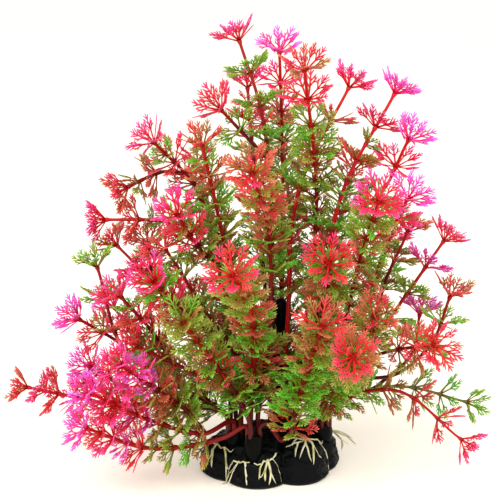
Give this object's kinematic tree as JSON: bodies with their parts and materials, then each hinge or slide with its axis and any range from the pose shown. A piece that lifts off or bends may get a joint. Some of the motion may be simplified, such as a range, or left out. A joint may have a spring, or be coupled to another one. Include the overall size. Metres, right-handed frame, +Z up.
{
  "type": "artificial hottonia aquarium plant",
  "caption": "Moulded-plastic water plant with whorls of forked leaves on branching stems, rooted in a weighted black rock-like foot.",
  "frame": {"origin": "middle of the rock foot's flat underside, on the ground", "axes": "+Z up, -Y towards the front of the plant, +X to its right as seen from the front"},
  "size_m": [0.3323, 0.2447, 0.3011],
  "materials": {
    "rock_resin": "satin cast resin",
    "plug_plastic": "satin moulded plastic",
    "root_plastic": "satin moulded plastic",
    "leaf_crown": "moulded plastic, tinted green to coral and magenta at the tips",
    "leaf_right": "moulded plastic, tinted olive to coral red",
    "leaf_front": "moulded plastic, bright green with coral tips",
    "leaf_left": "moulded plastic, tinted red to hot pink",
    "leaf_back": "moulded plastic, tinted green to red",
    "stem_plastic": "moulded dark red plastic"
  },
  "bodies": {
    "root": {"back_1": "leaf_back", "back_2": "leaf_back", "back_3": "leaf_back", "back_4": "leaf_back", "back_5": "leaf_back", "back_6": "leaf_back", "back_7": "leaf_back", "back_8": "leaf_back", "centre_post": "plug_plastic", "crown_1": "leaf_crown", "crown_10": "leaf_crown", "crown_11": "leaf_crown", "crown_2": "leaf_crown", "crown_3": "leaf_crown", "crown_4": "leaf_crown", "crown_5": "leaf_crown", "crown_6": "leaf_crown", "crown_7": "leaf_crown", "crown_8": "leaf_crown", "crown_9": "leaf_crown", "front_1": "leaf_front", "front_2": "leaf_front", "front_3": "leaf_front", "front_4": "leaf_front", "left_1": "leaf_left", "left_10": "leaf_left", "left_11": "leaf_left", "left_12": "leaf_left", "left_13": "leaf_left", "left_14": "leaf_left", "left_15": "leaf_left", "left_16": "leaf_left", "left_17": "leaf_left", "left_18": "leaf_left", "left_2": "leaf_left", "left_3": "leaf_left", "left_4": "leaf_left", "left_7": "leaf_left", "left_9": "leaf_left", "plug_front": "plug_plastic", "plug_left": "plug_plastic", "plug_right": "plug_plastic", "right_1": "leaf_right", "right_10": "leaf_right", "right_11": "leaf_right", "right_12": "leaf_right", "right_2": "leaf_right", "right_3": "leaf_right", "right_4": "leaf_right", "right_5": "leaf_right", "right_6": "leaf_right", "right_7": "leaf_right", "right_8": "leaf_right", "right_9": "leaf_right", "rock_base": "rock_resin", "roots_front": "root_plastic", "roots_left": "root_plastic", "roots_middle": "root_plastic", "roots_right": "root_plastic", "roots_side": "root_plastic"}
  },
  "joints": []
}
